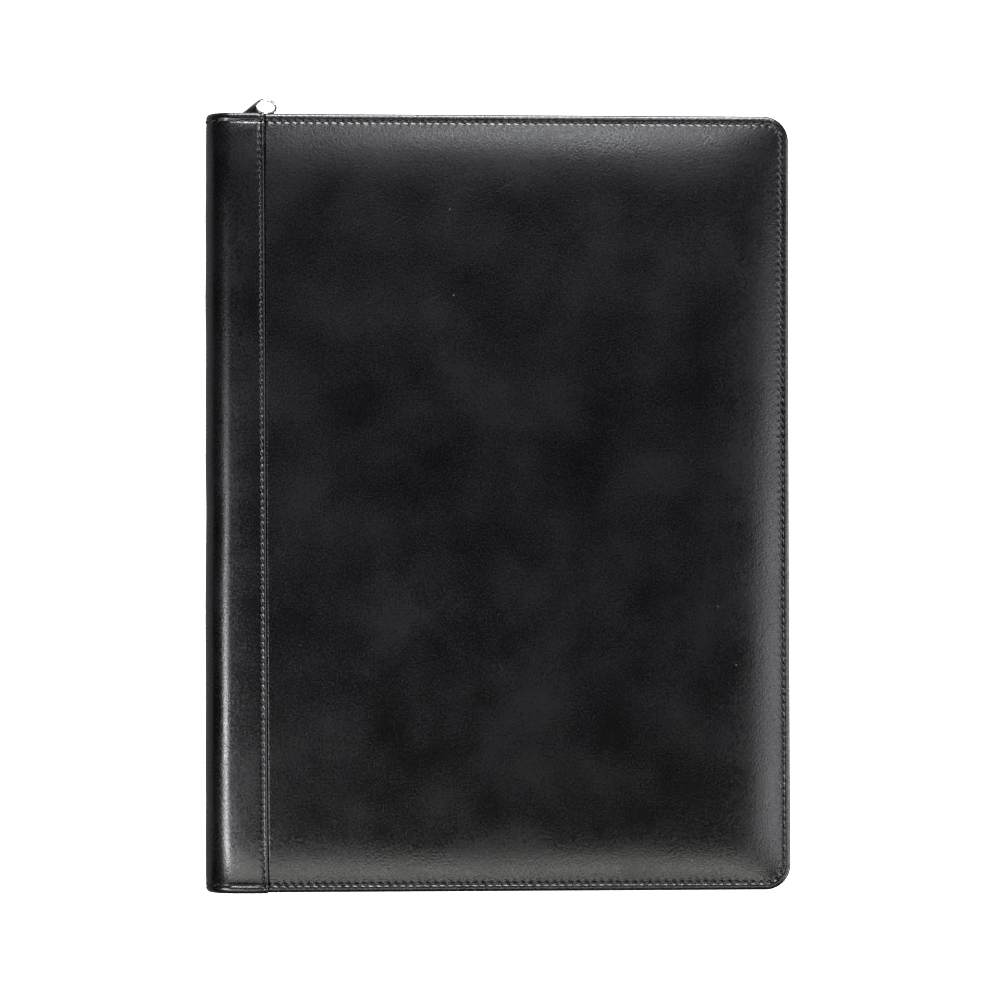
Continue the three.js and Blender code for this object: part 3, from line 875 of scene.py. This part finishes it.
# Half of a tooth's outline in mm: how far along the chain, and how far from its middle line.
half_tooth = np.array([
    [0, -0.98], [0.36, -0.86], [0.58, -0.5],
    [0.5, -0.12], [0.4, 0.15], [0.5, 0.6],
    [0.66, 1.0], [0.66, 2.6], [0.5, 2.85],
])
tooth_line = np.concatenate([half_tooth, half_tooth[:0:-1] * [-1, 1]]) * MM
tooth_flat = tooth_half - tooth_bevel
tooth_points = np.concatenate([
    np.column_stack([(tooth_line - tooth_middle) * share + tooth_middle, np.full(len(tooth_line), depth)])
    for depth, share in ((-tooth_half, 0.8), (-tooth_flat, 1), (tooth_flat, 1), (tooth_half, 0.8))
])
chain_path = outline_path(chain_inset, tape_columns, chain_start)
chain_walk = walk_along(chain_path)
tooth_ids = np.arange(len(tooth_points)).reshape(-1, len(tooth_line))
tooth_quads = grid_faces(np.concatenate([tooth_ids, tooth_ids[:, :1]], axis=1))
tooth_caps = np.stack([tooth_ids[0], tooth_ids[-1][::-1]])
teeth = []
for facing in (1, -1):
    offset = chain_margins[0] + (0 if facing > 0 else tooth_pitch / 2)
    places = np.arange(offset, chain_walk[-1] - chain_margins[1], tooth_pitch)
    middles, before, after = (
        np.stack([np.interp(places + step, chain_walk, chain_path[:, k]) for k in range(2)], axis=-1)
        for step in (0, -0.5 * MM, 0.5 * MM)
    )
    ahead = (after - before) / np.linalg.norm(after - before, axis=1, keepdims=True)
    side = np.stack([-ahead[:, 1], ahead[:, 0]], axis=-1)
    flat = middles[:, None] + tooth_points[None, :, :1] * ahead[:, None]
    flat = flat + tooth_points[None, :, 2:] * side[:, None]
    level = np.broadcast_to(zip_level + facing * tooth_points[:, 1], flat.shape[:2])
    teeth.append(np.concatenate([flat, level[..., None]], axis=-1))
teeth = np.concatenate(teeth)
tooth_offsets = (np.arange(len(teeth)) * len(tooth_points))[:, None, None]
chain_faces = [
    (tooth_quads[None] + tooth_offsets).reshape(-1, 4),
    (tooth_caps[None] + tooth_offsets).reshape(-1, len(tooth_line)),
]
chain = add_piece("zip_teeth", worn(teeth.reshape(-1, 3)), chain_faces, zip_nickel, flat=True)
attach(chain, "case")
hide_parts("zip_chain")


# The bottom stop: a small nickel block with rounded edges, pressed over the chain's last teeth.
block_steps = 6
weld_reach = 0.001 * MM


def add_block(name, centre, size, radius):
    """A nickel block with round edges: a cube's grid pushed out round the corners of a smaller one."""
    line = np.linspace(-1, 1, block_steps + 1)
    u, v = np.meshgrid(line, line, indexing="ij")
    one = np.ones_like(u)
    sides = [(one, u, v), (-one, v, u), (v, one, u), (u, -one, v), (u, v, one), (v, u, -one)]
    half = np.array(size) / 2
    points, faces = [], []
    for k, side in enumerate(sides):
        spread = np.stack(side, axis=-1).reshape(-1, 3) * half
        core = np.clip(spread, radius - half, half - radius)
        out = spread - core
        out /= np.maximum(np.linalg.norm(out, axis=1, keepdims=True), 1e-9)
        points.append(core + out * radius)
        faces.append(grid_faces(np.arange(u.size).reshape(u.shape) + k * u.size))
    made = add_piece(name, np.concatenate(points) + centre, [np.concatenate(faces)], zip_nickel)
    turn_outwards(made, weld_reach)
    return made


stop_low, stop_high = (np.array(corner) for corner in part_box("zip_bottom_stop"))
stop = add_block("bottom_stop", (stop_low + stop_high) / 2, stop_high - stop_low, 0.7 * MM)
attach(stop, "case")
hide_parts("zip_bottom_stop")


# The slider: two tapered nickel plates with rounded edges, joined by a post at the nose, with a round
# arch on the outer one that carries the pull.
slider_middle = np.array([left + 12.5 * MM, cover_end - chain_inset, zip_level])
slider_length = 11 * MM
slider_nose_half = 4.7 * MM
slider_nose_chamfer = 1.2 * MM
slider_tail_half = 3.8 * MM
slider_plate = 1.1 * MM
slot_half = 1.5 * MM
post_place = 2.4 * MM
post_size = (2.4 * MM, 2 * slot_half + slider_plate, 5.6 * MM)
arch_middle = 4.3 * MM
arch_outer = 4.1 * MM
arch_bar = 1.0 * MM
arch_width = 1.2 * MM
arch_foot = -2.0 * MM


def plate_piece(name, outlines, thickness, bevel, place, material):
    """A flat plate with rounded edges and holes: filled closed lines, given a thickness, and set where
    the matrix puts them."""
    data = bpy.data.curves.new(name, "CURVE")
    data.dimensions = "2D"
    data.fill_mode = "BOTH"
    data.extrude = thickness / 2 - bevel
    data.bevel_depth = bevel
    data.offset = -bevel
    data.bevel_resolution = 3
    for outline in outlines:
        line = data.splines.new("POLY")
        line.points.add(len(outline) - 1)
        flat = np.column_stack([outline, np.zeros(len(outline)), np.ones(len(outline))])
        line.points.foreach_set("co", flat.astype(np.float32).ravel())
        line.use_cyclic_u = True
    shape = bpy.data.objects.new(name + "_line", data)
    bpy.context.scene.collection.objects.link(shape)
    mesh = bpy.data.meshes.new_from_object(shape.evaluated_get(bpy.context.evaluated_depsgraph_get()))
    bpy.data.objects.remove(shape)
    mesh.transform(place)
    mesh.name = name
    mesh.materials.clear()
    mesh.materials.append(material)
    mesh.polygons.foreach_set("use_smooth", np.ones(len(mesh.polygons), bool))
    made = bpy.data.objects.new(name, mesh)
    bpy.context.scene.collection.objects.link(made)
    turn_outwards(made, weld_reach)
    return made


def arc(centre, radius, start, end, count):
    """Points on an arc between two angles, in degrees."""
    turn = np.radians(np.linspace(start, end, count))
    return np.column_stack([centre[0] + radius * np.cos(turn), centre[1] + radius * np.sin(turn)])


def rounded(corners, radius, count=5):
    """A closed line of corners, each one replaced with a few points on a curve that cuts it off."""
    corners = np.array(corners, float)
    out = []
    for before, corner, after in zip(np.roll(corners, 1, 0), corners, np.roll(corners, -1, 0)):
        into = (before - corner) / np.linalg.norm(before - corner) * radius
        on = (after - corner) / np.linalg.norm(after - corner) * radius
        for t in np.linspace(0, 1, count):
            out.append(corner + into * (1 - t) ** 2 + on * t**2)
    return np.array(out)


nose, tail = -slider_length / 2, slider_length / 2
half_plan = [
    (nose, slider_nose_half / 2),
    (nose + slider_nose_chamfer, slider_nose_half),
    (0, slider_nose_half),
    (tail, slider_tail_half),
]
plan = rounded(half_plan + [(x, -y) for x, y in half_plan[::-1]], 0.8 * MM)
lying = Matrix.Rotation(math.pi / 2, 4, "X")
slider_pieces = []
for name, way in (("slider_outer_plate", 1), ("slider_inner_plate", -1)):
    put = Matrix.Translation(slider_middle + [0, way * (slot_half + slider_plate / 2), 0]) @ lying
    slider_pieces.append(plate_piece(name, [plan], slider_plate, 0.3 * MM, put, zip_nickel))
post_middle = slider_middle + [nose + post_place, 0, 0]
slider_pieces.append(add_block("slider_post", post_middle, post_size, 0.6 * MM))
arch_inner = arch_outer - arch_bar
arch_line = np.concatenate([
    arc((0, 0), arch_outer, 0, 180, 33),
    [(-arch_outer, arch_foot), (-arch_inner, arch_foot)],
    arc((0, 0), arch_inner, 180, 0, 33),
    [(arch_inner, arch_foot), (arch_outer, arch_foot)],
])
arch_put = Matrix.Translation(slider_middle + [0, arch_middle, 0])
arch = plate_piece("slider_arch", [arch_line], arch_width, 0.32 * MM, arch_put, zip_nickel)
slider_pieces.append(arch)
for piece in slider_pieces:
    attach(piece, "case")
    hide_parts("zip_slider")


# The pull: a flat bright nickel drop with a round window and a small eye, which hangs on the arch.
pull_thickness = 1.4 * MM
pull_bevel = 0.35 * MM
pull_reach = 14.6 * MM
pull_end = 4.9 * MM
window_radius = 4 * MM
eye_radius = 3 * MM
eye_hole_radius = 1.9 * MM
arch_radius = arch_outer - arch_bar / 2
eye_turn = math.radians(19)
pull_turns = ((26, "Z"), (-34, "Y"), (44, "X"))  # degrees and axis, the last one turned first
pull_nickel = build_nickel("pull_nickel", (0.74, 0.72, 0.68, 1), 0.18)
tangent = math.degrees(math.acos((pull_end - eye_radius) / pull_reach))
drop = np.concatenate([
    arc((pull_reach, 0), pull_end, tangent - 180, 180 - tangent, 49),
    arc((0, 0), eye_radius, 180 - tangent, 180 + tangent, 25),
])
eye_hole = arc((0, 0), eye_hole_radius, 0, 350, 36)
window = arc((pull_reach, 0), window_radius, 0, 354, 60)
eye_across = arch_radius * math.cos(eye_turn)
eye_out = arch_middle + arch_radius * math.sin(eye_turn)
pull_put = Matrix.Translation(slider_middle + [eye_across, eye_out, 0])
for degrees, axis in pull_turns:
    pull_put = pull_put @ Matrix.Rotation(math.radians(degrees), 4, axis)
pull_lines = [drop, eye_hole, window]
pull = plate_piece("pull_drop", pull_lines, pull_thickness, pull_bevel, pull_put, pull_nickel)
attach(pull, "pull")
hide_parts("zip_pull")
